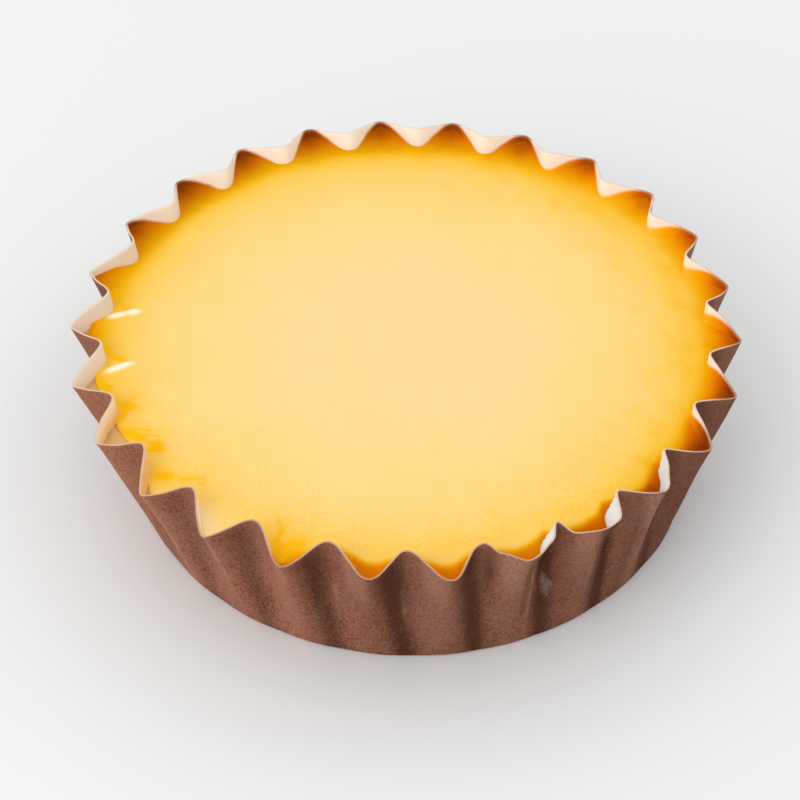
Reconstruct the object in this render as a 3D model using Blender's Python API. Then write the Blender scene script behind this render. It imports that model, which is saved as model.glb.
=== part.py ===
"""A baked cheese tart in its fluted paper case.

The case is a thin paper cup: a flat round base, and a wall of 26 flutes that
deepen from the base to a zigzag rim. The filling fills it to a few
millimetres below the rim and dips into every flute. Units are metres, +Z is
up, and the origin is the centre of the case's underside.
"""

import bmesh
import bpy
import numpy as np

# The paper case.
FLUTES = 26
BASE_RADIUS = 0.0336        # mean radius where the wall meets the base
BASE_WAVE = 0.00015         # depth of the flutes there, to each side of it
RIM_OUTER = 0.0400          # radius at the rim of an outer fold
RIM_INNER = 0.0362          # and of an inner fold
OUTER_HEIGHT = 0.0196       # the outer folds splay, so they end lower
INNER_HEIGHT = 0.0213
RIM_LEAN = -0.00085         # the rim's centre lies this far along X
PAPER = 0.0003
FOLD_SHARPNESS = 0.7        # 0 gives a sine wave, 1 gives straight pleats
FIRST_FLUTE = 95.6          # degrees, flutes are counted clockwise from it

# How far the folds drift from an even pitch: (waves round the rim,
# degrees of drift, phase in degrees).
PITCH_DRIFT = ((1, 1.23, 176), (2, 0.58, 70))

# Flutes pushed out of shape. The corners of each one run from the inner fold
# before it to the one after: (place in flutes from its middle, share of a
# whole flute's reach).
CRUSHED = {
    10: ((-0.5, 0), (-0.34, 0.4), (-0.18, 0.52), (-0.1, 0.78), (0, 0.84), (0.2, 0.42), (0.5, 0)),
    11: ((-0.5, 0), (-0.4, 0.68), (-0.1, 0.84), (0.28, 0.58), (0.43, 0.1), (0.5, 0)),
    12: ((-0.5, 0), (-0.4, 0.52), (-0.2, 0.84), (0.1, 0.68), (0.3, 0.4), (0.5, 0)),
}

# The filling.
FIT_GAP = 0.00045           # clearance to the paper
FILL_SHARE = 0.87           # of the wall's height, at the filling's edge
SHOULDER_RADIUS = 0.0344
SHOULDER_HEIGHT = 0.0184
PLATEAU_RADIUS = 0.0300
PLATEAU_HEIGHT = 0.0187
CROWN_RADIUS = 0.0170
CROWN_HEIGHT = 0.0188

# Round one side the filling has drawn back from the outer folds.
DRAWN_FLUTE = 17.7          # where it has drawn back most
DRAWN_BEFORE = 1.9          # flutes over which that fades, to either side
DRAWN_AFTER = 3.4
DRAWN_ABOVE = 0.3           # share of the wall's height where it starts
DRAWN_FROM = 0.0386         # the filling's reach into a full flute
DRAWN_BY = 0.0026

STEPS_PER_FLUTE = 10
WALL_ROWS = 5
SHARP_EDGE = 50             # degrees, edges sharper than this stay crisp


def smooth(value):
    """0 below 0, 1 above 1 and a smooth step between."""
    value = np.clip(value, 0, 1)
    return value * value * (3 - 2 * value)


def fold_wave(position):
    """1 on an outer fold, -1 on an inner one. The position counts flutes."""
    swing = np.cos(2 * np.pi * position)
    return np.arcsin(FOLD_SHARPNESS * swing) / np.arcsin(FOLD_SHARPNESS)


def flute_wave(position):
    """The fold wave, with the crushed flutes in their own shape."""
    wave = fold_wave(position)
    for number, corners in CRUSHED.items():
        places, reaches = zip(*corners)
        across = position - number
        crushed = 2 * np.interp(across, places, reaches) - 1
        wave = np.where(np.abs(across) < 0.5, crushed, wave)
    return wave


def fold_angle(position):
    """The direction in radians, clockwise from the first flute."""
    turn = 2 * np.pi * position / FLUTES
    drift = sum(
        degrees * np.cos(waves * turn - np.radians(phase))
        for waves, degrees, phase in PITCH_DRIFT
    )
    return np.radians(FIRST_FLUTE + drift) - turn


def wall_ring(share, inset):
    """A ring of points at this share of the wall's height, inset from its outside."""
    position = np.arange(FLUTES * STEPS_PER_FLUTE) / STEPS_PER_FLUTE
    angle = fold_angle(position)
    wave = flute_wave(position)
    base = BASE_RADIUS + BASE_WAVE * wave
    rim = (RIM_OUTER + RIM_INNER) / 2 + (RIM_OUTER - RIM_INNER) / 2 * wave
    height = (OUTER_HEIGHT + INNER_HEIGHT) / 2 + (OUTER_HEIGHT - INNER_HEIGHT) / 2 * wave
    radius = base + (rim - base) * share
    ring = np.stack([radius * np.cos(angle), radius * np.sin(angle), height * share], 1)
    ring[:, 0] += RIM_LEAN * share
    along = np.roll(ring, -1, 0) - np.roll(ring, 1, 0)
    inward = np.stack([along[:, 1], -along[:, 0]], 1)
    inward /= np.linalg.norm(inward, axis=1)[:, None]
    ring[:, :2] += inset * inward
    return ring


def flat_ring(ring, height):
    """The same ring, laid at one height."""
    laid = ring.copy()
    laid[:, 2] = height
    return laid


def round_ring(radius, height):
    """A circle of points, one for each point of a wall ring."""
    angle = fold_angle(np.arange(FLUTES * STEPS_PER_FLUTE) / STEPS_PER_FLUTE)
    centre = RIM_LEAN * height / OUTER_HEIGHT
    across = centre + radius * np.cos(angle)
    return np.stack([across, radius * np.sin(angle), np.full_like(angle, height)], 1)


def drawn_back(ring, share):
    """Pulls the ring's outermost points in, on the side where the filling has shrunk."""
    position = np.arange(len(ring)) / STEPS_PER_FLUTE
    away = position - DRAWN_FLUTE
    fade = np.where(away < 0, -away / DRAWN_BEFORE, away / DRAWN_AFTER)
    amount = (1 - smooth(fade)) * smooth((share - DRAWN_ABOVE) / (FILL_SHARE - DRAWN_ABOVE))
    limit = DRAWN_FROM - DRAWN_BY * amount
    centre = np.array([RIM_LEAN * share, 0])
    radius = np.linalg.norm(ring[:, :2] - centre, axis=1)
    pulled = np.where(amount > 0, np.minimum(radius, limit), radius)
    moved = ring.copy()
    moved[:, :2] = centre + (ring[:, :2] - centre) * (pulled / radius)[:, None]
    return moved


def turned_solid(name, rings, material):
    """One closed body from rings of points, each end capped. The first ring is the bottom's."""
    bm = bmesh.new()
    loops = [[bm.verts.new(point) for point in ring] for ring in rings]
    for lower, upper in zip(loops, loops[1:]):
        for index in range(len(lower)):
            after = (index + 1) % len(lower)
            bm.faces.new((lower[index], upper[index], upper[after], lower[after]))
    bm.faces.new(loops[0])
    bm.faces.new(reversed(loops[-1]))
    bmesh.ops.recalc_face_normals(bm, faces=bm.faces)
    mesh = bpy.data.meshes.new(name)
    bm.to_mesh(mesh)
    bm.free()
    mesh.shade_smooth()
    mesh.set_sharp_from_angle(angle=np.radians(SHARP_EDGE))
    mesh.materials.append(material)
    solid = bpy.data.objects.new(name, mesh)
    bpy.context.collection.objects.link(solid)
    return solid


def plain_material(name, colour, roughness):
    material = bpy.data.materials.new(name)
    material.use_nodes = True
    shader = material.node_tree.nodes["Principled BSDF"]
    shader.inputs["Base Color"].default_value = (*colour, 1)
    shader.inputs["Roughness"].default_value = roughness
    shader.inputs["Metallic"].default_value = 0
    return material


def paper_case():
    """The paper cup: up its outside, over the rim and down its inside."""
    shares = np.linspace(0, 1, WALL_ROWS)
    outside = [wall_ring(share, 0) for share in shares]
    floor_share = PAPER / INNER_HEIGHT
    inside = [wall_ring(share, PAPER) for share in shares[:0:-1]]
    floor = flat_ring(wall_ring(floor_share, PAPER), PAPER)
    paper = plain_material("brown_paper", (0.20, 0.095, 0.062), 0.8)
    return turned_solid("paper_case", outside + inside + [floor], paper)


def cheese_filling():
    """The baked filling: up along the paper, then over its shoulder to the crown."""
    inset = PAPER + FIT_GAP
    bottom_share = inset / INNER_HEIGHT
    side = [flat_ring(wall_ring(bottom_share, inset), inset)]
    for share in np.linspace(bottom_share, FILL_SHARE, WALL_ROWS)[1:]:
        side.append(drawn_back(wall_ring(share, inset), share))
    top = [
        round_ring(SHOULDER_RADIUS, SHOULDER_HEIGHT),
        round_ring(PLATEAU_RADIUS, PLATEAU_HEIGHT),
        round_ring(CROWN_RADIUS, CROWN_HEIGHT),
    ]
    cheese = plain_material("baked_cheese", (0.93, 0.62, 0.16), 0.45)
    return turned_solid("cheese_filling", side + top, cheese)


for old in list(bpy.data.objects):
    bpy.data.objects.remove(old)
paper_case()
cheese_filling()
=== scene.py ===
import math

import bpy
import numpy as np
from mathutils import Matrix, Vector, kdtree


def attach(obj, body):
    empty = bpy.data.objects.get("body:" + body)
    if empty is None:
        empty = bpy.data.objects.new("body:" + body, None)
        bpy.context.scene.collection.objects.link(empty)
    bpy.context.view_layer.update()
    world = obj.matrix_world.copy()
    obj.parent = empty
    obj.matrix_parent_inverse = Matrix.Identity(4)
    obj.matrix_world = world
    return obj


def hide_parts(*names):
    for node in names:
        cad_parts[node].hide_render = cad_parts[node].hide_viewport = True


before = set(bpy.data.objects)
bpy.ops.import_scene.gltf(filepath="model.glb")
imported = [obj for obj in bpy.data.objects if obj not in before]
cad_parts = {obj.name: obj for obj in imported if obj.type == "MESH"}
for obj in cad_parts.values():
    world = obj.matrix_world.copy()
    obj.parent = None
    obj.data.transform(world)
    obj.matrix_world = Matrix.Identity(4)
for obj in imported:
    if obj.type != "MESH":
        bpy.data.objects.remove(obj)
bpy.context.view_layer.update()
print("frame loaded")

mm = 0.001
fullTurn = 2 * math.pi

# the folds that the paper and the filling share; folds are counted clockwise
folds = {
    "count": 26,
    "firstAngle": 95.6,            # degrees
    "drift": ((1, 1.23, 176), (2, 0.58, 70)),   # waves round, degrees, phase
    "baseRadius": 33.6 * mm,
    "baseWave": 0.05 * mm,
    "rimOuter": 40.0 * mm,
    "rimInner": 36.2 * mm,
    "outerHeight": 19.6 * mm,
    "innerHeight": 21.3 * mm,
    "lean": -0.85 * mm,            # the rim's centre sits this far along X
    # how tight the folds are round the rim, 1 is a knife pleat
    "outerTight": ((0, 0.93), (5, 0.92), (9, 0.92), (12.6, 0.30), (14.3, 0.30), (15.2, 0.7), (16, 0.93),
                   (19, 0.96), (22, 0.93)),
    "innerTight": ((0, 0.84), (5, 0.88), (7.5, 0.95), (9.6, 0.94), (12.4, 0.50), (15, 0.50), (16.5, 0.75),
                   (20, 0.82)),
    "deepening": 1.35,             # the folds deepen towards the rim, 1 is evenly
    # folds out of shape: corners from one inner fold to the next, as the place in
    # folds from the middle and the share of a whole fold's reach
    "crushed": {
        10: ((-0.5, 0), (-0.42, 0.25), (-0.34, 0.42), (-0.26, 0.55), (-0.15, 0.81), (-0.05, 0.86),
             (0.08, 0.71), (0.22, 0.47), (0.36, 0.22), (0.45, 0.06), (0.5, 0)),
        11: ((-0.5, 0), (-0.445, 0.2), (-0.39, 0.47), (-0.33, 0.68), (-0.2, 0.75), (-0.08, 0.8), (0.03, 0.77),
             (0.12, 0.7), (0.28, 0.55), (0.38, 0.44), (0.42, 0.24), (0.46, 0.03), (0.5, 0)),
        12: ((-0.5, 0), (-0.44, 0.28), (-0.4, 0.46), (-0.29, 0.58), (-0.18, 0.72), (-0.08, 0.79),
             (0.01, 0.81), (0.09, 0.74), (0.18, 0.6), (0.25, 0.51), (0.37, 0.42), (0.41, 0.3), (0.45, 0.15),
             (0.5, 0.08)),
        13: ((-0.5, 0.08), (-0.44, 0.09), (-0.36, 0.16), (-0.28, 0.38), (-0.19, 0.68), (-0.13, 0.87),
             (-0.07, 0.97), (0.01, 0.99), (0.1, 0.9), (0.26, 0.5), (0.38, 0.21), (0.45, 0.12), (0.5, 0.09)),
        14: ((-0.5, 0.09), (-0.43, 0.13), (-0.37, 0.27), (-0.17, 0.8), (-0.1, 0.9), (-0.02, 0.94),
             (0.03, 0.91), (0.08, 0.85), (0.19, 0.57), (0.34, 0.19), (0.42, 0.03), (0.5, 0)),
    },
    "cornerEase": 0.05,            # in folds, how far those corners are eased to each side
    # the crushed ones lean over: below the rim they sit this many folds further round
    "leans": ((8.9, 0), (9.4, 0.06), (10.1, 0.10), (10.5, 0.18), (11.9, 0.20), (12.5, 0)),
    "leanShare": 0.2,              # of the wall's height below the rim, where that is complete
}


def smooth(value):
    value = np.clip(value, 0, 1)
    return value * value * (3 - 2 * value)


def between(value, low, high):
    return smooth((value - low) / (high - low))


def aroundRim(position, table):
    # a value that changes from fold to fold, from a few given places
    places, values = zip(*table)
    return np.interp(position, places, values, period=folds["count"])


def softCorners(value, corners, radius):
    # a polyline whose corners are eased by averaging over a short stretch
    places, heights = zip(*corners)
    offsets = np.linspace(-radius, radius, 7)
    weights = 1 - np.abs(offsets) / (radius * 1.4)
    total = sum(w * np.interp(value + o, places, heights) for o, w in zip(offsets, weights))
    return total / weights.sum()


def foldWave(position, share=1.0):
    # 1 on an outer fold, -1 on an inner one; each sort has its own tightness
    lean = aroundRim(position, folds["leans"])
    position = position - lean * smooth((1 - share) / folds["leanShare"])
    swing = np.cos(fullTurn * position)
    outerTight = aroundRim(position, folds["outerTight"])
    innerTight = aroundRim(position, folds["innerTight"])
    outer = np.arcsin(outerTight * swing) / np.arcsin(outerTight)
    inner = np.arcsin(innerTight * swing) / np.arcsin(innerTight)
    wave = inner + (outer - inner) * between(swing, -0.6, 0.6)
    for number, corners in folds["crushed"].items():
        across = position - number
        crushed = 2 * softCorners(across, corners, folds["cornerEase"]) - 1
        wave = np.where(np.abs(across) <= 0.5, crushed, wave)
    return wave


def foldAngle(position):
    turn = fullTurn * position / folds["count"]
    drift = sum(d * np.cos(w * turn - math.radians(phase)) for w, d, phase in folds["drift"])
    return np.radians(folds["firstAngle"] + drift) - turn


def ripples(seed, count, slowest, fastest):
    # a wandering value round the rim and up the wall, near -1 to 1, from waves
    # that run between slowest and fastest times round
    draw = np.random.default_rng(seed)
    around = draw.integers(slowest, fastest + 1, count)
    upward = draw.uniform(-2.5, 2.5, count)
    phase = draw.uniform(0, fullTurn, count)

    def at(position, share):
        turn = fullTurn * np.asarray(position) / folds["count"]
        waves = [np.cos(a * turn + u * share + p) for a, u, p in zip(around, upward, phase)]
        return sum(waves) / math.sqrt(count)

    return at


def lineGap(x, y, start, end):
    # distance from a short line, and how far along it the nearest point is
    run = np.array(end) - np.array(start)
    part = np.clip(((x - start[0]) * run[0] + (y - start[1]) * run[1]) / (run @ run), 0, 1)
    return np.hypot(x - start[0] - part * run[0], y - start[1] - part * run[1]), part


fullMark = 0.05                    # mm, lines lower than this leave a weaker mark
lineFade = (0.12, 0.92)            # lines are weaker at their ends, as a part of a sine arch


def lineRelief(x, y, lines):
    # soft ridges along short lines: each has its two ends, width and height in mm
    relief = np.zeros(np.broadcast(x, y).shape)
    mask = np.zeros_like(relief)
    for start, end, width, height in lines:
        gap, part = lineGap(x, y, start, end)
        arch = np.sin(math.pi * (lineFade[0] + (lineFade[1] - lineFade[0]) * part))
        here = np.exp(-((gap / width) ** 2)) * arch
        relief += height * here
        mask = np.maximum(mask, here * min(1, abs(height) / fullMark))
    return relief, mask


def placedLines(lines, foldWidth):
    # the same lines with their folds turned into mm round the rim
    return [((a * foldWidth, b), (c * foldWidth, d), w, h) for (a, b), (c, d), w, h in lines]


# the paper's wall, which the filling follows too
wall = {
    "thickness": 0.25 * mm,
    "dents": 0.10 * mm,            # how far it wanders
    "dentRipples": (3, 14, 9, 60),            # seed, number of waves, fewest and most round
    "dentsUpward": 4,              # how much faster they change up the wall
    "dentsFull": 0.35,             # share of the wall's height where they are full
    "rimDents": 0.12 * mm,         # how far the rim's height wanders
    "rimRipples": (8, 10, 5, 45),
    "rimDentsFrom": 0.6,
    # pinched lines on the outside, in folds and heights in mm: ends, width, height
    "pinches": (
        ((11.86, 14.4), (11.94, 5.6), 0.26, 0.15),
        ((12.64, 11.4), (12.80, 6.4), 0.24, 0.12),
        ((10.06, 19.4), (10.04, 4.4), 0.26, 0.12),
        ((11.50, 11.8), (11.36, 4.6), 0.40, -0.10),
        ((9.30, 13.0), (9.36, 4.0), 0.30, 0.08),
    ),
    "pinchTop": 20.4,              # mm, where the rim is for those heights
}
perFold = fullTurn * 37 / folds["count"]      # mm from fold to fold on the wall
wallDents = ripples(*wall["dentRipples"])
rimDents = ripples(*wall["rimRipples"])


def wallPlan(position, share):
    wave = foldWave(position, share)
    reach = (folds["rimOuter"] + folds["rimInner"]) / 2
    depth = (folds["rimOuter"] - folds["rimInner"]) / 2 - folds["baseWave"]
    radius = folds["baseRadius"] + (reach - folds["baseRadius"]) * share
    radius = radius + wave * (folds["baseWave"] + depth * np.clip(share, 0, 1) ** folds["deepening"])
    dents = wallDents(position, share * wall["dentsUpward"]) * between(share, 0.0, wall["dentsFull"])
    pinches = placedLines(wall["pinches"], perFold)
    relief, _ = lineRelief(position * perFold, share * wall["pinchTop"], pinches)
    radius = radius + wall["dents"] * dents + relief * mm
    angle = foldAngle(position)
    across = radius * np.cos(angle) + folds["lean"] * share
    return np.stack([across, radius * np.sin(angle)], -1), wave


def wallPoints(position, share, inset):
    # points on the wall, moved inward by inset across the fold
    share = np.broadcast_to(np.asarray(share, float), position.shape)
    plan, wave = wallPlan(position, share)
    step = 0.03                    # in folds, to each side, for the direction along the wall
    along = wallPlan(position + step, share)[0] - wallPlan(position - step, share)[0]
    inward = np.stack([along[..., 1], -along[..., 0]], -1)
    inward /= np.linalg.norm(inward, axis=-1)[..., None]
    middle = (folds["outerHeight"] + folds["innerHeight"]) / 2
    swing = (folds["outerHeight"] - folds["innerHeight"]) / 2
    height = (middle + swing * wave) * share
    height = height + wall["rimDents"] * rimDents(position, 0) * between(share, wall["rimDentsFrom"], 1.0)
    moved = plan + inward * np.asarray(inset)[..., None]
    return np.concatenate([moved, height[..., None]], -1)


def gridMesh(name, rows, attributes):
    # a closed band of quads from rows of points, with each end capped
    rowCount, around = rows.shape[0], rows.shape[1]
    index = np.arange(rowCount * around).reshape(rowCount, around)
    lower, upper = index[:-1], index[1:]
    quads = np.stack([lower, np.roll(lower, -1, 1), np.roll(upper, -1, 1), upper], -1)
    faces = quads.reshape(-1, 4).tolist()
    faces.append(index[0][::-1].tolist())
    faces.append(index[-1].tolist())
    mesh = bpy.data.meshes.new(name)
    mesh.from_pydata(rows.reshape(-1, 3).tolist(), [], faces)
    for key, values in attributes.items():
        layer = mesh.attributes.new(key, "FLOAT", "POINT")
        layer.data.foreach_set("value", np.ascontiguousarray(values, np.float32).ravel())
    mesh.shade_smooth()
    made = bpy.data.objects.new(name, mesh)
    bpy.context.collection.objects.link(made)
    return made


topShare = 0.9                     # of the wall's height, about where the filling's edge lies

# how far the oven has browned the top, 0 pale to 1 dark brown
crust = {
    "radii": (12, 26, 31, 33, 34.5, 36, 37, 38, 39, 40),    # mm from the middle
    "baked": (0, 0.09, 0.18, 0.25, 0.33, 0.46, 0.56, 0.66, 0.76, 0.84),
    "edgeBaked": 0.27,             # up to here the sides differ little
    "paleSide": ((10, 1), (11, 0.86), (12, 0.8), (14.2, 0.78), (18.5, 0.75), (20.5, 0.9), (22, 1)),
    "sides": ((0, 1.0), (4, 1.05), (5, 1.15), (6, 1.2), (7, 1.4), (8, 1.6), (9, 1.6), (10, 0.9), (11, 0.55),
              (12.2, 0.45), (13.5, 0.25), (14.5, 0.3), (15.05, 0.9), (15.4, 0.2), (15.7, -0.3), (16.1, -0.6),
              (17, -0.4), (17.4, 0.1), (18.5, 0.35), (19.6, 0.45), (20, 0.95), (20.4, 0.75), (21.3, 0.95),
              (23.5, 1.25), (25, 1.1)),
    # and at once browner or paler along the whole edge
    "edgeShift": ((0, 0.08), (1, 0.05), (2, 0.02), (3, -0.04), (4, -0.09), (5, -0.12), (6, -0.12),
                  (7, -0.11), (7.9, -0.06), (8.8, -0.07), (9.5, -0.02), (11, -0.03), (12, -0.07),
                  (13, -0.07), (14, -0.04), (14.6, 0), (16.6, 0), (16.95, 0.09), (17.25, 0.09), (17.5, 0),
                  (20.5, 0), (21, 0.02), (22, 0.08), (23, 0.06), (24, 0.035), (25, 0.025)),
    "edgeBand": (33 * mm, 35.8 * mm),         # radii over which that sets in
    # less red round here
    "dullTint": (0.87, 0.97, 0.9),
    "duller": ((0, 0.8), (2, 0.4), (3.5, 0), (20.5, 0), (21.5, 0.8), (22, 1), (25.5, 1)),
    # where the flutes start with an edge, a lip
    "lips": ((8.2, 0), (9.1, 0.35), (9.6, 0.5), (9.9, 1), (14.2, 1), (14.6, 0.75), (15.1, 0.15), (15.4, 0)),
    "lipRadius": (34.7 * mm, 36.35 * mm),     # between the folds' inner and outer ends
    # and shifted by this much in mm
    "lipShift": ((10, 0), (10.6, -0.3), (11.3, -0.35), (12, -0.25), (13, 0.05), (14, -0.3), (14.6, -0.3),
                 (15.4, 0)),
    "lipBaked": 0.38,              # how much browner it is past the lip
    "lipSudden": 0.95,             # share of that within the first run, the rest in the second
    "lipRuns": ((-0.5 * mm, 0.6 * mm), (0, 1.8 * mm)),
    "cloudScale": 95,
    "cloudy": 0.13,                # how much the browning varies in wide clouds
    "mottleScale": 420,
    "mottled": 0.04,               # and in small ones
    "stops": (
        (0.0, (0.93, 0.65, 0.28)),
        (0.14, (0.925, 0.615, 0.175)),
        (0.27, (0.915, 0.56, 0.083)),
        (0.37, (0.89, 0.50, 0.028)),
        (0.46, (0.86, 0.41, 0.002)),
        (0.56, (0.81, 0.31, 0.0)),
        (0.66, (0.71, 0.208, 0.0)),
        (0.76, (0.575, 0.132, 0.0)),
        (0.86, (0.44, 0.085, 0.0)),
        (1.0, (0.27, 0.045, 0.001)),
    ),
}


def lipRadius(position):
    inner, outer = crust["lipRadius"]
    even = inner + (outer - inner) * (1 + foldWave(position, topShare)) / 2
    return even + aroundRim(position, crust["lipShift"]) * mm


def bakedAt(position, radius):
    even = np.interp(radius / mm, crust["radii"], crust["baked"])
    common = np.minimum(even, crust["edgeBaked"])
    edge = (even - common) * aroundRim(position, crust["sides"])
    common = common * aroundRim(position, crust["paleSide"])
    common = common + aroundRim(position, crust["edgeShift"]) * between(radius, *crust["edgeBand"])
    past = radius - lipRadius(position)
    sudden, gentle = [between(past, *run) for run in crust["lipRuns"]]
    lip = gentle + (sudden - gentle) * crust["lipSudden"]
    return common + edge + crust["lipBaked"] * lip * aroundRim(position, crust["lips"])


# node work for the materials
class Value:
    def __init__(self, paint, socket):
        self.paint = paint
        self.socket = socket

    def math(self, operation, *others, **settings):
        settings["operation"] = operation
        sockets = {0: self}
        sockets.update({n + 1: other for n, other in enumerate(others)})
        return self.paint.node("ShaderNodeMath", settings, sockets)

    def __add__(self, other):
        return self.math("ADD", other)

    def __radd__(self, other):
        return self.math("ADD", other)

    def __sub__(self, other):
        return self.math("SUBTRACT", other)

    def __rsub__(self, other):
        return self.paint.node("ShaderNodeMath", {"operation": "SUBTRACT"}, {0: other, 1: self})

    def __mul__(self, other):
        return self.math("MULTIPLY", other)

    def __rmul__(self, other):
        return self.math("MULTIPLY", other)

    def clamp(self):
        return self.math("ADD", 0, use_clamp=True)


class Paint:
    def __init__(self, name):
        self.material = bpy.data.materials.new(name)
        self.material.use_nodes = True
        self.tree = self.material.node_tree
        self.shader = self.tree.nodes["Principled BSDF"]
        self.place = self.node("ShaderNodeTexCoord", {}, {}, "Object")

    def feed(self, socket, value):
        if isinstance(value, Value):
            self.tree.links.new(value.socket, socket)
        else:
            socket.default_value = value

    def node(self, kind, settings, sockets, output=0):
        made = self.tree.nodes.new(kind)
        for key, value in settings.items():
            if key == "stops":
                ramp = made.color_ramp
                while len(ramp.elements) < len(value):
                    ramp.elements.new(0.5)
                for element, (place, colour) in zip(ramp.elements, value):
                    element.position = place
                    element.color = (*colour, 1)
            else:
                setattr(made, key, value)
        for key, value in sockets.items():
            self.feed(made.inputs[key], value)
        return Value(self, made.outputs[output])

    def attribute(self, name):
        return self.node("ShaderNodeAttribute", {"attribute_name": name}, {}, "Fac")

    def noise(self, scale, detail=3, rough=0.5, stretch=None):
        place = self.place
        if stretch:
            place = self.node("ShaderNodeVectorMath", {"operation": "MULTIPLY"}, {0: place, 1: stretch})
        sockets = {"Vector": place, "Scale": scale, "Detail": detail, "Roughness": rough}
        return self.node("ShaderNodeTexNoise", {}, sockets, "Fac")

    def spread(self, value, low, high, start=0.0, end=1.0):
        settings = {"interpolation_type": "SMOOTHSTEP"}
        sockets = {"Value": value, "From Min": low, "From Max": high, "To Min": start, "To Max": end}
        return self.node("ShaderNodeMapRange", settings, sockets)

    def ramp(self, value, stops):
        return self.node("ShaderNodeValToRGB", {"stops": stops}, {"Fac": value}, "Color")

    def mix(self, factor, first, second, blend="MIX"):
        settings = {"data_type": "RGBA", "blend_type": blend}
        first = first if isinstance(first, Value) else (*first, 1)
        second = second if isinstance(second, Value) else (*second, 1)
        return self.node("ShaderNodeMix", settings, {0: factor, 6: first, 7: second}, 2)

    def bumpy(self, height, distance, strength, below=None):
        sockets = {"Height": height, "Distance": distance, "Strength": strength}
        if below:
            sockets["Normal"] = below
        return self.node("ShaderNodeBump", {}, sockets)

    def cloudNoise(self):
        return self.noise(crust["cloudScale"], 4, 0.55)

    def mottleNoise(self):
        return self.noise(crust["mottleScale"], 4, 0.6)

    def browning(self, baked, cloud, mottle):
        # the same browning on the filling and on the film that it left on the paper
        uneven = baked + (cloud - 0.5) * crust["cloudy"] + (mottle - 0.5) * crust["mottled"]
        colour = self.ramp(uneven.clamp(), crust["stops"])
        dull = self.attribute("dull") * self.spread(baked, 0.3, 0.6)
        return self.mix(dull, colour, crust["dullTint"], "MULTIPLY")

    def finish(self, **sockets):
        for key, value in sockets.items():
            self.feed(self.shader.inputs[key.replace("_", " ")], value)
        return self.material


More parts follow.
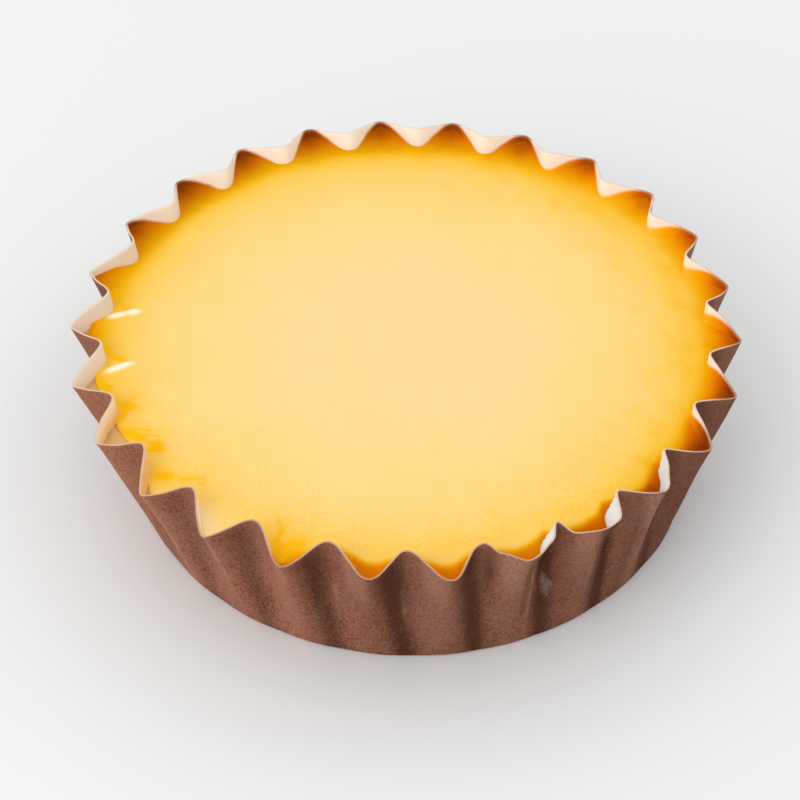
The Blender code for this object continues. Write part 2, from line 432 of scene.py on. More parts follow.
# the filling
cheese = {
    "intoPaper": 0.14 * mm,        # hides the joint inside the paper
    "crown": 18.8 * mm,
    "crownFall": 0.35 * mm,        # by the inner folds
    "innerFolds": 36 * mm,
    "edgeShare": 0.88,             # of the wall's height, where the edge is looked for first
    # how far it sinks into the flutes and then climbs the paper, in mm round the rim
    "sinks": ((0, 0.15), (8, 0.2), (9.3, 1.1), (12.2, 1.3), (14.6, 1.1), (15.4, 0.3), (17, 0.1), (20, 0.4),
              (21.5, 0.15)),
    "climbs": ((0, 1.0), (8, 0.95), (9.3, 0.2), (12, 0.15), (14.6, 0.3), (15.6, 0.1), (18, 0.1),
               (20.5, 0.6), (22, 1.0)),
    "valleyRun": 1.5 * mm,
    "softStart": 0.7 * mm,         # how gently that begins
    "lipStart": 0.16 * mm,         # and where the flutes start with an edge
    "climbWidth": 0.75 * mm,
    "climbInside": 0.35,           # share of the climb on the inner folds
    "climbBand": (35.8 * mm, 37.8 * mm),      # and the radii over which it grows
    "stepsPerFold": 40,
    "rows": 63,
    "rowCrowding": 1.75,           # rows stand closer near the paper
    "innermostRow": 0.015,         # share of the radius
    "nearPaper": 0.75,             # and where rows start to measure the way to the paper
    "drawnFold": 17.7,             # drawn back from the folds round here
    "drawnBefore": 0.85,           # folds over which that fades, to either side
    "drawnAfter": 3.4,
    "drawnFrom": 38.6 * mm,
    "drawnBy": 2.4 * mm,
    "drawnRound": 0.4 * mm,        # radius of its free edge
    "drawnDepth": 0.25 * mm,       # how far below the edge the ledge under it starts
    "ledgeRise": 0.6 * mm,         # and how much that ledge climbs to the paper
    "gapes": (0.05, 0.6),          # how far drawn back it has to be for all that
    "tuck": 0.05 * mm,             # the side starts this far inside and below the free edge
    "tuckHidden": 0.2 * mm,        # and below the edge in the paper
    "sideGap": 0.05 * mm,          # between the hidden side and the paper
    "footShare": 0.02,             # of the wall's height, where that side ends
    "sideDrops": (0.8, 3.5, 8.0, 12.5),       # mm below the edge, rows of the hidden side
    "swell": 0.05 * mm,
    "swellRipples": (21, 16, 2, 22),
    "swellScale": 6 * mm,
    "swellBand": (4 * mm, 20 * mm),
    "sagGlow": 2.4,                # how much wider than the sags their glow is
    # where the colour is warmer, the tips unbrowned and the skin finely uneven
    "warmSide": ((0, 0.5), (3, 1), (9, 1), (13, 0.4), (17, 0.6), (22, 0.2)),
    "warmBand": (20 * mm, 30 * mm),
    "paleTips": ((15.4, 0), (15.7, 0.6), (16, 1), (16.35, 0.8), (16.7, 0.2), (17, 0)),
    "paleBand": (34.5 * mm, 37.5 * mm),
    "paleReach": (2.2 * mm, 0.3 * mm),        # from the paper
    "fineSide": ((5, 0), (8.5, 0.6), (11, 1), (16, 1), (19, 0.7), (22, 0)),
    "fineBand": (16 * mm, 30 * mm),
    "fineEnd": (34 * mm, 35 * mm),
    # golden sags in the skin, in folds and radius in mm: ends, width, depth
    "sags": (
        ((14.88, 34.6), (15.14, 35.6), 0.85, -0.04),
        ((15.48, 31.8), (15.27, 34.4), 0.60, -0.025),
        ((15.30, 33.4), (15.26, 36.6), 0.40, -0.04),
        ((15.16, 35.2), (15.06, 38.2), 0.85, -0.05),
        ((16.66, 32.6), (16.80, 34.0), 0.36, -0.02),
        ((16.74, 32.4), (17.04, 35.0), 0.34, -0.035),
        ((17.06, 34.7), (17.30, 36.4), 0.52, -0.06),
        ((17.56, 33.0), (17.72, 35.2), 0.44, -0.05),
        ((17.62, 33.0), (17.84, 34.6), 0.44, -0.06),
        ((17.80, 34.1), (18.26, 36.4), 0.62, -0.07),
        ((17.90, 32.5), (18.22, 35.6), 0.20, -0.04),
        ((17.80, 32.5), (18.04, 35.0), 0.22, -0.04),
        ((18.34, 36.3), (18.56, 34.2), 0.34, -0.05),
        ((18.50, 33.2), (18.68, 35.9), 0.60, -0.06),
        ((18.30, 35.3), (18.90, 35.6), 0.36, -0.02),
        ((18.90, 35.8), (19.20, 36.7), 0.55, -0.05),
        ((19.44, 33.0), (19.58, 35.2), 0.38, -0.04),
        ((19.52, 34.8), (19.88, 36.5), 0.60, -0.03),
        ((20.48, 33.4), (20.64, 35.2), 0.38, -0.04),
        ((20.56, 34.8), (20.92, 36.4), 0.60, -0.03),
    ),
    # short glossy ridges that run up to two inner folds
    "ridges": (
        ((19.40, 32.4), (19.28, 36.2), 0.50, 0.24),
        ((20.50, 32.4), (20.44, 34.2), 0.52, 0.20),
        ((20.45, 33.8), (20.34, 36.2), 0.42, 0.22),
    ),
    # its look
    "ridgeHighlight": (1.0, 0.87, 0.70),    # painted highlight on the ridges
    "gold": (0.93, 0.49, 0.004),   # where the skin sags
    "golden": 0.92,
    "raggedScale": 520,
    "ragged": 1.5,                 # how uneven those sags' outlines are
    "glowScale": 500,
    "paleTip": (0.96, 0.80, 0.46),
    "paleTipped": 0.75,
    "ledge": (0.92, 0.60, 0.25),   # pale filling below a free edge
    "freckle": (0.75, 0.40, 0.08),
    "freckled": 0.12,
    "poreScale": 900.0,
    "poreDepth": 0.06 * mm,
    # how much browner it is at the paper, paler on the ridges as a painted highlight, and browner
    # on the warm side, in blotches and in the fine unevenness there
    "atPaper": 0.02,
    "ridgePaler": 0.15,
    "warmer": 0.025,
    "blotchScale": 270,
    "blotchy": 0.05,
    "pebbleScale": 1900,
    "pebbled": 0.052,
    "pebbleHeight": 0.9 * mm,      # per whole step of browning
    "mottleHeight": 0.05 * mm,
    "roughness": 0.46,
    "ridgeCoat": 0.3,
    "coatRoughness": 0.3,
    "specular": 0.02,
    "subsurface": 0.1,
    "subsurfaceRadius": (1.0, 0.45, 0.12),
    "subsurfaceScale": 0.8 * mm,
}
farAway = 9 * mm                   # counts as nowhere near the paper
perSpoke = fullTurn * 35 / folds["count"]     # mm from fold to fold on the top


def drawnAmount(position, before=cheese["drawnBefore"]):
    # 1 where the filling has drawn back most, 0 where it meets the paper
    away = position - cheese["drawnFold"]
    fade = np.where(away < 0, -away / before, away / cheese["drawnAfter"])
    return 1 - smooth(fade)


def skinLines(position, radius, lines):
    relief, mask = lineRelief(position * perSpoke, radius / mm, placedLines(lines, perSpoke))
    return relief * mm, mask


def paperGap(plan, ring):
    # distance of each point from the paper's inner face
    tree = kdtree.KDTree(len(ring))
    for n, point in enumerate(ring):
        tree.insert((point[0], point[1], 0), n)
    tree.balance()
    return np.array([tree.find((x, y, 0))[2] for x, y in plan])


def makeFilling():
    around = folds["count"] * cheese["stepsPerFold"]
    position = np.arange(around) / cheese["stepsPerFold"]
    drawn = drawnAmount(position)
    centre = np.array([folds["lean"] * topShare, 0])

    def surface(fold, radius, toPaper):
        height = cheese["crown"] - cheese["crownFall"] * (radius / cheese["innerFolds"]) ** 4
        soft, crisp = cheese["softStart"], cheese["lipStart"]
        start = soft + (crisp - soft) * aroundRim(fold, crust["lips"])
        past = start * np.logaddexp(0, (radius - lipRadius(fold)) / start)
        height = height - aroundRim(fold, cheese["sinks"]) * mm * (1 - np.exp(-past / cheese["valleyRun"]))
        inside = cheese["climbInside"]
        climb = aroundRim(fold, cheese["climbs"]) * mm
        climb = climb * (inside + (1 - inside) * between(radius, *cheese["climbBand"]))
        return height + climb * np.exp(-toPaper / cheese["climbWidth"])

    # the edge follows the wall up to the height that the surface has there
    inset = np.full(around, cheese["intoPaper"])
    edgeShare = np.full(around, cheese["edgeShare"])
    for _ in range(3):
        edge = wallPoints(position, edgeShare, inset)
        reach = np.linalg.norm(edge[:, :2] - centre, axis=1)
        wallHeight = edge[:, 2] / edgeShare
        edgeShare = surface(position, reach, 0 * reach) / wallHeight
    spoke = (edge[:, :2] - centre) / reach[:, None]
    limit = cheese["drawnFrom"] - cheese["drawnBy"] * drawn
    free = (drawn > 0.02) & (reach > limit)
    reach = np.where(free, limit, reach)

    # fine rows near the paper, wide ones in the middle
    inward = np.linspace(1, 0, cheese["rows"] + 1)[1:] ** cheese["rowCrowding"]
    shares = 1 - inward * (1 - cheese["innermostRow"])
    radius = reach * shares[:, None]
    plan = centre + spoke * radius[..., None]
    ring = wallPoints(position, edgeShare, np.full(around, wall["thickness"]))
    toPaper = np.full(radius.shape, farAway)
    near = shares > cheese["nearPaper"]
    toPaper[near] = paperGap(plan[near].reshape(-1, 2), ring).reshape(-1, around)
    fold = np.broadcast_to(position, radius.shape)

    height = surface(fold, radius, toPaper + farAway * free)
    swell = ripples(*cheese["swellRipples"])(fold, radius / cheese["swellScale"])
    height = height + cheese["swell"] * swell * between(radius, *cheese["swellBand"])
    # its free edge is rounded over, as far as it stands off the paper
    gape = between(drawn, *cheese["gapes"]) * free
    outward = np.clip((radius - limit) / cheese["drawnRound"] + 1, 0, 1)
    height = height - cheese["drawnRound"] * (1 - np.sqrt(1 - outward ** 2)) * gape
    sags = cheese["sags"]
    hollows, sagMask = skinLines(fold, radius, sags)
    _, glow = skinLines(fold, radius, [(a, b, w * cheese["sagGlow"], h) for a, b, w, h in sags])
    humps, ridgeMask = skinLines(fold, radius, cheese["ridges"])
    top = np.concatenate([plan, (height + hollows + humps)[..., None]], -1)

    # the side, just inside the paper, below the ledge where it has drawn back
    lip = top[-1].copy()
    lip[:, :2] -= spoke * cheese["tuck"] * free[:, None]
    lip[:, 2] -= np.where(free, cheese["tuck"] + cheese["drawnDepth"] * gape, cheese["tuckHidden"])
    below = [lip]
    atPaper = lip[:, 2] + cheese["ledgeRise"] * drawn * free
    below.append(wallPoints(position, atPaper / wallHeight, inset))
    inset = np.full(around, wall["thickness"] + cheese["sideGap"])
    for drop in cheese["sideDrops"]:
        below.append(wallPoints(position, (lip[:, 2] - drop * mm) / wallHeight, inset))
    below.append(wallPoints(position, np.full(around, cheese["footShare"]), inset))
    below = np.array(below)

    warm = aroundRim(fold, cheese["warmSide"]) * between(radius, *cheese["warmBand"])
    fine = aroundRim(fold, cheese["fineSide"]) * between(radius, *cheese["fineBand"])
    fine = fine * (1 - between(radius, *cheese["fineEnd"]))
    pale = aroundRim(fold, cheese["paleTips"]) * between(radius, *cheese["paleBand"])
    pale = pale * between(toPaper, *cheese["paleReach"])
    onTop = {
        "toPaper": toPaper / mm,
        "sag": sagMask,
        "glow": glow,
        "ridge": ridgeMask,
        "warm": warm,
        "fine": fine,
        "pale": pale,
        "dull": aroundRim(fold, crust["duller"]),
    }
    side = np.zeros((len(below), around))
    attributes = {key: np.concatenate([value, side]) for key, value in onTop.items()}
    attributes["ledge"] = np.concatenate([np.zeros(radius.shape), side + free])
    sideRadius = np.linalg.norm(below[..., :2] - centre, axis=-1)
    attributes["baked"] = np.concatenate([bakedAt(fold, radius), bakedAt(position, sideRadius)])
    return gridMesh("baked_filling", np.concatenate([top, below]), attributes)


def paintCheese():
    paint = Paint("baked_cheese_skin")
    look = cheese
    baked = paint.attribute("baked")
    toPaper = paint.attribute("toPaper")
    sag = paint.attribute("sag")
    ridge = paint.attribute("ridge")
    cloud = paint.cloudNoise()
    mottle = paint.mottleNoise()
    warm = paint.attribute("warm")
    blotch = paint.spread(paint.noise(look["blotchScale"], 3, 0.5), 0.48, 0.68) * warm
    pebble = paint.spread(paint.noise(look["pebbleScale"], 2, 0.5), 0.36, 0.64)
    uneven = (pebble - 0.5) * paint.attribute("fine") * look["pebbled"]
    baked = baked + (1 - paint.spread(toPaper, 0.0, 1.1)) * look["atPaper"] - ridge * look["ridgePaler"]
    baked = baked + blotch * look["blotchy"] + warm * look["warmer"] + uneven
    colour = paint.browning(baked, cloud, mottle)
    # golden sags with their glow, pale tips, the ledge and the painted highlight on the ridges
    ragged = (paint.noise(look["raggedScale"], 4, 0.65) - 0.5) * look["ragged"]
    gold = paint.spread(sag + ragged, 0.05, 0.95) * paint.spread(sag, 0.02, 0.3)
    glow = paint.spread(paint.noise(look["glowScale"], 3, 0.6), 0.36, 0.6, 0.3, 0.75)
    glow = paint.attribute("glow") * glow
    colour = paint.mix((gold * look["golden"] + glow).clamp(), colour, look["gold"])
    colour = paint.mix(paint.attribute("pale") * look["paleTipped"], colour, look["paleTip"])
    colour = paint.mix(paint.attribute("ledge"), colour, look["ledge"])
    colour = paint.mix(paint.spread(ridge, 0.12, 0.8) * 0.95, colour, look["ridgeHighlight"])
    # pores, here and there
    poreSockets = {"Vector": paint.place, "Scale": look["poreScale"]}
    pores = paint.node("ShaderNodeTexVoronoi", {}, poreSockets, "Distance")
    freckle = (1 - paint.spread(pores, 0.05, 0.28)) * paint.spread(paint.noise(160, 3), 0.52, 0.66)
    colour = paint.mix(freckle * look["freckled"], colour, look["freckle"])
    roughness = paint.spread(cloud, 0.3, 0.7, look["roughness"], look["roughness"] + 0.1) - ridge * 0.15
    normal = paint.bumpy(mottle, look["mottleHeight"], 0.5)
    normal = paint.bumpy(uneven, look["pebbleHeight"], 0.5, normal)
    normal = paint.bumpy(freckle, -look["poreDepth"], 0.6, normal)
    return paint.finish(
        Base_Color=colour,
        Roughness=roughness,
        Normal=normal,
        Coat_Weight=ridge * look["ridgeCoat"],
        Coat_Roughness=look["coatRoughness"],
        Specular_IOR_Level=look["specular"],
        Subsurface_Weight=look["subsurface"],
        Subsurface_Radius=look["subsurfaceRadius"],
        Subsurface_Scale=look["subsurfaceScale"],
    )


filling = makeFilling()
filling.data.materials.append(paintCheese())
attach(filling, "root")
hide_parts("cheese_filling")
print("filling made,", len(filling.data.polygons), "faces")

# the case
paper = {
    "edgeRound": 0.04 * mm,
    "footRound": 0.5 * mm,
    "stepsPerFold": 40,
    "wallRows": 34,
    # the browned film on its inside: how far below the rim that ends on the inner
    # folds, in mm round the rim
    "filmInner": ((0, 2.7), (3, 2.4), (5, 1.3), (8.5, 1.1), (9.5, 2), (14, 2.4), (22, 2.7)),
    # and on the outer folds, where below 0 it ends above the rim
    "filmOuter": ((0, -0.38), (18, -0.38), (19, 0.9), (20.6, 1.1), (21.4, 0.6), (22, -0.2), (23, -0.38)),
    "filmTaper": ((0, 1.3), (3, 1.5), (5, 2), (9, 2.4), (14, 2.4), (16, 1.6), (22, 1.2)),
    "filmDrawn": 4.5 * mm,         # and lower still where the filling has drawn back
    "drawnBefore": 1.9,
    "bare": ((9.5, 9.94), (10.5, 10.84), (11.5, 11.88)),    # steep panels without it
    "bareBy": 6 * mm,
    "residue": 0.06 * mm,          # its thickness
    "filmRows": 26,                # rows of points from the rim down, where it ends
    "filmLowest": 0.70,            # share of the wall's height where those rows end
    "beyondEdge": 0.45 * mm,       # it is as brown as the filling this far outside its edge
    "tipBaked": 0.14,              # its tips are browner
    "patchScale": 240,
    "blotScale": 620,
    "fibreScale": 900,
    "fibreHeight": 0.05 * mm,
    "grainScale": 3200,
    "grainHeight": 0.035 * mm,
    "specular": 0.06,
    # the outside
    "brown": (0.306, 0.117, 0.067),
    "brownDark": (0.200, 0.070, 0.038),
    "mauve": (0.285, 0.140, 0.100),
    "paintedShade": (0.072, 0.019, 0.007),          # painted shade in the creases, on the flank that faces away from the lamp, in the darker places and in the lines below
    "creaseShadeFoot": 0.62,              # place of that in each fold, at the foot and at the rim
    "creaseShadeTop": 0.76,
    "creaseShadeWidth": 0.16,
    "creaseShadeSkirt": 0.28,             # and of a fainter, wider part round it
    "litSide": 0.16,               # the side of each fold that faces the lamp, painted paler as light
    "creaseShades": ((4, 0.5), (8, 0.9), (12, 1), (14.2, 1), (14.9, 0.7), (15.7, 0.6), (16.6, 0.4), (18, 0.2),
              (22, 0.3)),
    # painted shade, where it is darker all over: the side that faces away from the lamp and some flanks of
    # the crushed folds
    "shades": ((3, 0.3), (6, 0.5), (7, 0.75), (8, 1.1), (9.2, 1.2), (9.7, 0.4), (10, -0.2), (10.25, 1.1),
               (10.5, -0.1), (10.75, 0.6), (11, 0.1), (11.3, 0.45), (11.6, 0.1), (12.75, 0.05), (13, 0.2),
               (13.3, 0.05), (13.8, 0.05), (14, 0.25), (14.3, 0), (15, 0.1), (16, 0), (20, 0)),
    "speck": (0.075, 0.026, 0.014),
    # pale colour for the painted light on the lit flanks and the painted highlights, and for pale specks
    "highlightAndSpeck": (0.43, 0.208, 0.138),
    "creaseShadeBy": 0.8,               # how strong the painted shade in the creases, the darker places and the painted lines below are
    "shadedBy": 0.5,               # lines below are
    "shadeLinesBy": 0.7,
    "ridgeHighlightBy": 0.6,
    "foldHighlightBy": 0.5,               # a painted highlight on the edge of each fold where it has drawn back
    "worn": (0.45, 0.182, 0.107),  # painted light, paler on the flanks that face the lamp on one side
    "lampSidePales": ((14, 0), (14.4, 0.15), (14.75, 0), (15.2, 0.6), (15.7, 0.1), (16.15, 0.5), (16.7, 0.15),
              (17.05, 0.6), (17.5, 0.25), (17.9, 0.55), (18.6, 0.55), (19.6, 0.35), (21, 0)),
    "smear": (0.29, 0.22, 0.19),
    # greasy marks on the outside, as lines: ends, width, strength
    "smears": (
        ((11.70, 13.4), (11.58, 7.0), 0.75, 0.9),
        ((11.62, 12.0), (11.52, 10.0), 0.5, 0.6),
        ((11.82, 13.0), (11.76, 9.0), 0.35, 0.6),
    ),
    # and lines of painted highlight along the pinched ridges and lines of painted shade
    "rubbed": (
        ((11.86, 18.0), (11.90, 2.5), 0.16, 0.9),
        ((10.98, 15.5), (10.98, 7.0), 0.14, 0.7),
        ((10.03, 18.5), (10.03, 6.0), 0.16, 0.9),
        ((14.50, 14.5), (14.50, 6.5), 0.30, 0.5),
        ((13.60, 14.0), (13.58, 7.0), 0.26, 0.4),
        ((16.00, 19.0), (15.98, 3.5), 0.15, 0.8),
        ((17.00, 19.0), (16.98, 2.5), 0.13, 0.9),
    ),
    "pressed": (
        ((12.42, 20.5), (12.50, 12.0), 0.55, 0.6),
        ((10.90, 18.0), (10.88, 5.0), 0.30, 0.7),
        ((11.95, 16.0), (12.00, 5.0), 0.30, 0.5),
    ),
    # the cut edge, tan or pale
    "rim": (0.52, 0.30, 0.175),
    "rimPale": (0.89, 0.74, 0.54),
    "rimBy": 0.85,
    "rimTan": ((0, 0.2), (7, 0.3), (9.5, 0.55), (11.5, 0.7), (12.5, 1), (15.3, 1), (16.5, 0.85),
               (17.5, 0.65), (18.5, 0.5), (20, 0.25)),
    # the inside
    "white": (0.90, 0.85, 0.80),
    "panel": (0.76, 0.79, 0.82),   # the bare steep panels
    "tinted": (0.92, 0.78, 0.66),  # next to the film
    "greased": (0.90, 0.73, 0.50),
    "oiled": (0.79, 0.43, 0.08),   # deeper down where the filling has drawn back
    "oilStart": ((16.4, -1), (16.8, -1.8), (17.3, -1.8), (17.7, 0.1), (19, 0.1)),      # mm below the rim
    "oilRun": 2.2 * mm,
    "oiledBy": 0.9,
    "tintedBy": 0.7,
    "oils": ((15.9, 0), (16.4, 0.5), (17, 1), (17.4, 0.9), (18.4, 0.8), (18.8, 0.6), (19.1, 0.15),
             (19.8, 0)),
    # painted shade on the inside of the folds at the left and back, which face away from the lamp
    "insideShadeColour": (0.60, 0.45, 0.34),
    "insideShades": ((18.4, 0), (19.3, 0.3), (20.3, 0.45), (21.4, 0.5), (22.4, 0.3), (23.5, 0.1), (25, 0)),
}


def filmTop(position):
    # how far below the rim the film ends
    wave = foldWave(position)
    innerFold = aroundRim(position, paper["filmInner"]) * mm
    outerFold = aroundRim(position, paper["filmOuter"]) * mm
    inward = ((1 - wave) / 2).clip(0) ** aroundRim(position, paper["filmTaper"])
    depth = outerFold + (innerFold - outerFold) * inward
    for start, end in paper["bare"]:              # with soft ends
        past = 1 - between(position, end - 0.02, end + 0.04)
        depth = depth + paper["bareBy"] * between(position, start - 0.06, start + 0.02) * past
    return depth + paper["filmDrawn"] * drawnAmount(position, paper["drawnBefore"])


def makeCase():
    around = folds["count"] * paper["stepsPerFold"]
    position = np.arange(around) / paper["stepsPerFold"]
    drawn = drawnAmount(position, paper["drawnBefore"])
    wallHeight = (folds["outerHeight"] + folds["innerHeight"]) / 2
    top = filmTop(position)
    oils = aroundRim(position, paper["oils"])
    oilStart = aroundRim(position, paper["oilStart"]) * mm
    atEdge = wallPoints(position, topShare, np.full(around, wall["thickness"]))
    edgeRadius = np.hypot(atEdge[:, 0] - folds["lean"] * topShare, atEdge[:, 1]) + paper["beyondEdge"]
    panel = 0
    for a, b in paper["bare"]:
        panel = panel + between(position, a - 0.06, a) * between(position, b + 0.05, b)
    # what is the same all the way up the wall
    steady = {
        "drawn": drawn,
        "tan": aroundRim(position, paper["rimTan"]),
        "shade": aroundRim(position, paper["shades"]),
        "worn": aroundRim(position, paper["lampSidePales"]),
        "dull": aroundRim(position, crust["duller"]),
        "dim": aroundRim(position, paper["insideShades"]),
        "panel": panel,
    }
    rows = []
    values = {}

    def add(share, inset, height=None, isInner=0.0, isEdge=0.0, below=-1 * mm):
        # one ring of points, with what the material needs to know there
        share = np.full(around, float(share))
        ring = wallPoints(position, share, np.zeros(around) + inset)
        if height is not None:
            ring[:, 2] = height
        rows.append(ring)
        radius = np.hypot(ring[:, 0] - folds["lean"] * share, ring[:, 1])
        wave = foldWave(position, share)
        found = dict(steady)
        found["inner"] = np.full(around, isInner)
        found["edge"] = np.full(around, isEdge)
        found["share"] = share
        found["film"] = np.zeros(around) + below / mm
        tip = paper["tipBaked"] * between(share, 0.86, 1.0) * between(wave, 0.0, 0.9)
        tip = tip * (1 - aroundRim(position, crust["lips"]))
        found["baked"] = bakedAt(position, np.minimum(radius, edgeRadius)) + tip
        found["oil"] = oils * smooth(((1 - share) * wallHeight - oilStart) / paper["oilRun"])
        # painted highlight along the outer folds where the filling has drawn back
        found["knife"] = between(wave, 0.86, 1.0) * between(drawn, 0.15, 0.6)
        # painted shade in each crease, on the flank that faces away from the lamp
        crease = paper["creaseShadeFoot"] + (paper["creaseShadeTop"] - paper["creaseShadeFoot"]) * share
        fromCreaseShade = (position - crease) % 1
        fromCreaseShade = np.minimum(fromCreaseShade, 1 - fromCreaseShade)
        soak = np.exp(-((fromCreaseShade / paper["creaseShadeWidth"]) ** 2))
        soak = soak + 0.5 * np.exp(-((fromCreaseShade / paper["creaseShadeSkirt"]) ** 2))
        found["soak"] = soak * aroundRim(position, paper["creaseShades"])
        # painted light on the flank of each fold that faces the lamp
        flank = np.cos(fullTurn * (position - paper["litSide"]))
        found["lit"] = between(flank, 0.1, 0.9) * between(share, 0.45, 0.95)
        up = share * wallHeight / mm
        # the greasy marks, the painted highlight lines and the painted shade lines
        for key in ("smears", "rubbed", "pressed"):
            found[key] = lineRelief(position * perFold, up, placedLines(paper[key], perFold))[0]
        for key, value in found.items():
            values.setdefault(key, []).append(value)

    # up the outside from the rounded foot, over the rim and down the inside
    foot = paper["footRound"]
    add(0, foot, height=0)
    for turn in np.linspace(0, math.pi / 2, 5)[1:]:
        lift = foot * (1 - math.cos(turn))
        add(lift / folds["innerHeight"], foot * (1 - math.sin(turn)), height=lift)
    for share in np.linspace(0.06, 1, paper["wallRows"]):
        add(share, 0)
    thick = wall["thickness"]
    bend = paper["edgeRound"]
    rows[-1][:, 2] -= bend
    add(1, bend, isInner=0.3, isEdge=1, below=-top)
    add(1, thick - bend, isInner=1, isEdge=1, below=-top)
    add(1, thick, isInner=1, isEdge=0.4, below=-top)
    rows[-1][:, 2] -= bend
    filmShares = np.linspace(0.99, paper["filmLowest"], paper["filmRows"])
    for share in (*filmShares, 0.4, 0.2):
        below = (1 - share) * wallHeight - top
        cover = between(below, -0.1 * mm, 0.3 * mm)
        add(share, thick + paper["residue"] * cover, isInner=1, below=below)
    add(thick / folds["innerHeight"], thick, height=thick, isInner=1)
    return gridMesh("fluted_case", np.array(rows), {key: np.array(value) for key, value in values.items()})


def paintPaper():
    paint = Paint("brown_baking_paper")
    look = paper
    inner = paint.attribute("inner")
    edge = paint.attribute("edge")
    filmDepth = paint.attribute("film")
    rimTan = paint.attribute("tan")
    baked = paint.attribute("baked")
    share = paint.attribute("share")
    drawn = paint.attribute("drawn")
    cloud = paint.cloudNoise()
    mottle = paint.mottleNoise()
    patch = paint.noise(look["patchScale"], 3, 0.55)
    blot = paint.noise(look["blotScale"], 3, 0.6)
    fibre = paint.noise(look["fibreScale"], 5, 0.7, (1.0, 1.0, 0.4))
    grain = paint.noise(look["grainScale"], 2, 0.6, (1.0, 1.0, 0.8))
    second = paint.noise(look["grainScale"] * 1.5, 2, 0.6)
    # the outside, from its brown to the painted shade in the creases
    tone = paint.spread(cloud * 0.35 + patch * 0.35 + blot * 0.3 + (fibre - 0.5) * 0.35, 0.34, 0.64)
    outside = paint.mix(tone, look["brownDark"], look["brown"])
    # greyish mauve in patches, and painted light with a greyish sheen on the lit flanks
    lit = paint.attribute("lit")
    grey = (paint.spread(patch, 0.62, 0.4) * 0.45 + lit * 0.25).clamp()
    outside = paint.mix(grey, outside, look["mauve"])
    outside = paint.mix(lit * 0.5, outside, look["highlightAndSpeck"])
    # painted shade in the creases and in the darker places
    soak = paint.attribute("soak")
    uneven = paint.spread(patch, 0.3, 0.62, 0.76, 1.0) * paint.spread(grain, 0.36, 0.6, 0.84, 1.08)
    paintedShade = soak * paint.spread(share, 1.0, 0.9, 0.8, 1.0) * uneven
    dark = paintedShade * look["creaseShadeBy"] + paint.attribute("shade") * look["shadedBy"]
    outside = paint.mix(dark.clamp(), outside, look["paintedShade"])
    # painted light on the flanks that face the lamp
    outside = paint.mix(paint.attribute("worn"), outside, look["worn"])
    # painted shade along the lines
    pressed = paint.attribute("pressed") * look["shadeLinesBy"]
    outside = paint.mix(pressed.clamp(), outside, look["paintedShade"])
    # dark and pale specks, more of them in the creases and near the foot
    low = 1 - paint.spread(share, 0.35, 0.85)
    coarse = (soak * 0.5 + low * 0.5).clamp() * paint.spread(patch, 0.38, 0.58, 0.3, 1.0)
    specks = paint.spread(grain, 0.48, 0.60) * (coarse * 0.5 + 0.32)
    outside = paint.mix(specks, outside, look["speck"])
    lights = paint.spread(second, 0.52, 0.68) * (coarse * 0.32 + 0.12) * (1 - soak * 0.5)
    outside = paint.mix(lights, outside, look["highlightAndSpeck"])
    # painted highlight lines and the greasy mark
    highlights = paint.attribute("rubbed") * paint.spread(fibre, 0.3, 0.55)
    highlights = highlights * look["ridgeHighlightBy"] + paint.attribute("knife") * look["foldHighlightBy"]
    outside = paint.mix(highlights.clamp(), outside, look["highlightAndSpeck"])
    smear = paint.spread(paint.attribute("smears") + (fibre - 0.5) * 0.7 + (cloud - 0.5) * 0.5, 0.3, 0.9)
    broken = paint.spread(blot, 0.4, 0.6, 0.1, 0.6) * paint.spread(grain, 0.4, 0.6, 0.6, 1.0)
    outside = paint.mix(smear * broken, outside, look["smear"])
    # the inside and its film
    greasy = paint.spread(drawn + (cloud - 0.5) * 0.3 - paint.spread(share, 0.8, 1.0) * 0.35, 0.05, 0.8)
    inside = paint.mix(greasy, look["white"], look["greased"])
    tinted = paint.spread(filmDepth, -1.5, 0.1) * (1 - greasy) * look["tintedBy"]
    inside = paint.mix(tinted, inside, look["tinted"])
    oil = paint.attribute("oil") * paint.spread(cloud, 0.3, 0.6, 0.7, 1.0)
    inside = paint.mix(oil * look["oiledBy"], inside, look["oiled"])
    # painted shade on the inside
    inside = paint.mix(paint.attribute("dim"), inside, look["insideShadeColour"])
    inside = paint.mix(paint.attribute("panel"), inside, look["panel"])
    stain = paint.spread(filmDepth + (cloud - 0.5) * 0.7 + (fibre - 0.5) * 0.3, -0.2, 0.4)
    inside = paint.mix(stain, inside, paint.browning(baked, cloud, mottle))
    colour = paint.mix(inner, outside, inside)
    rim = paint.mix(rimTan, look["rimPale"], look["rim"])
    rim = paint.mix(stain * (1 - rimTan) * look["rimBy"], rim, paint.browning(baked, cloud, mottle))
    colour = paint.mix(edge * look["rimBy"], colour, rim)
    roughness = paint.spread(fibre, 0.3, 0.7, 0.6, 0.76) - stain * inner * 0.2 - smear * (1 - inner) * 0.25
    normal = paint.bumpy(fibre, look["fibreHeight"], 0.5)
    normal = paint.bumpy(grain, look["grainHeight"], 0.5, normal)
    return paint.finish(
        Base_Color=colour,
        Roughness=roughness,
        Normal=normal,
        Specular_IOR_Level=look["specular"],
    )


case = makeCase()
case.data.materials.append(paintPaper())
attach(case, "root")
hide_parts("paper_case")
print("paper case made,", len(case.data.polygons), "faces")

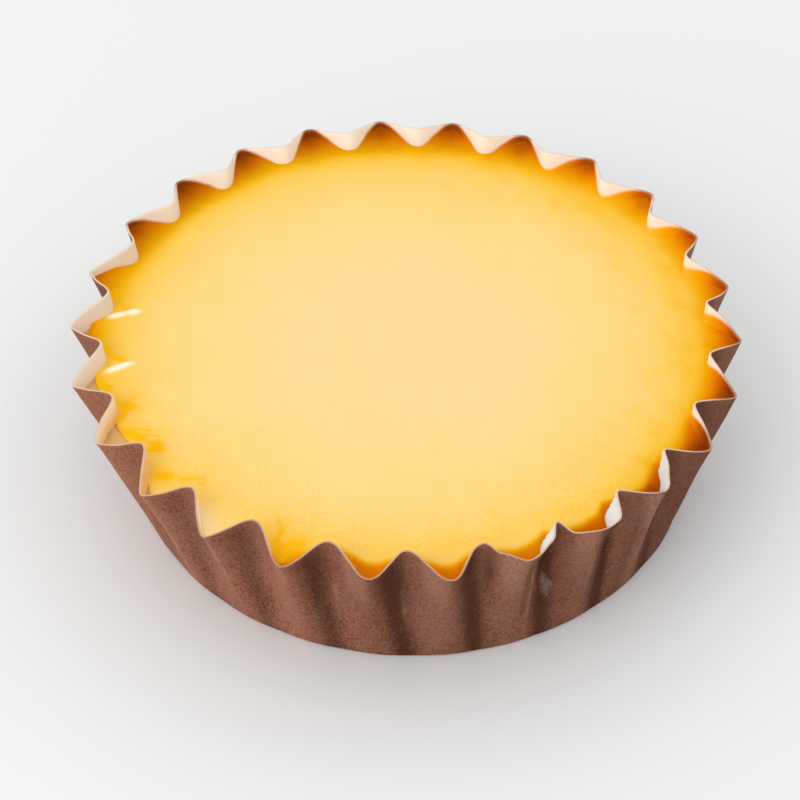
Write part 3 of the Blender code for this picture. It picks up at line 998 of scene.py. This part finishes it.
studio = {
    "floorSize": 3.0,
    "floorColour": (0.818, 0.830, 0.828),
    "floorShade": 0.985,           # its darkest places
    "sky": (1.0, 1.0, 1.0),
    "skyStrength": 0.985,
    # each lamp's place, size and power
    "lamps": {
        "key": ((-0.42, -0.44, 0.42), 0.6, 1.5),
    },
    "aim": (-1.52 * mm, 0.0, 8.65 * mm),
    "elevation": 44.43,            # degrees
    "distance": 378.1 * mm,
    "lens": 140.3,
    "sensor": 36,
}


def makeFloor():
    bpy.ops.mesh.primitive_plane_add(size=studio["floorSize"], location=(0, 0, 0))
    floor = bpy.context.object
    floor.name = "studio_floor"
    paint = Paint("pale_floor")
    shade = paint.spread(paint.noise(3, 2), 0.3, 0.7)
    dark = tuple(c * studio["floorShade"] for c in studio["floorColour"])
    colour = paint.mix(shade, dark, studio["floorColour"])
    floor.data.materials.append(paint.finish(Base_Color=colour, Roughness=0.6))


def makeLight():
    world = bpy.data.worlds.new("studio_sky")
    bpy.context.scene.world = world
    world.use_nodes = True
    background = world.node_tree.nodes["Background"]
    background.inputs["Color"].default_value = (*studio["sky"], 1)
    background.inputs["Strength"].default_value = studio["skyStrength"]
    for name, (place, size, power) in studio["lamps"].items():
        lamp = bpy.data.lights.new(name, "AREA")
        lamp.shape = "DISK"
        lamp.size = size
        lamp.energy = power
        placed = bpy.data.objects.new(name, lamp)
        placed.location = place
        toward = Vector(studio["aim"]) - placed.location
        placed.rotation_euler = toward.to_track_quat("-Z", "Y").to_euler()
        bpy.context.collection.objects.link(placed)


def makeCamera():
    lens = bpy.data.cameras.new("camera")
    lens.lens = studio["lens"]
    lens.sensor_width = studio["sensor"]
    lens.clip_start = 0.01
    camera = bpy.data.objects.new("camera", lens)
    tilt = math.radians(studio["elevation"])
    back = Vector((0, -math.cos(tilt), math.sin(tilt)))
    camera.location = Vector(studio["aim"]) + back * studio["distance"]
    camera.rotation_euler = back.to_track_quat("Z", "Y").to_euler()
    bpy.context.collection.objects.link(camera)
    bpy.context.scene.camera = camera


makeFloor()
makeLight()
makeCamera()
bpy.context.scene.view_settings.view_transform = "Standard"
print("studio ready")
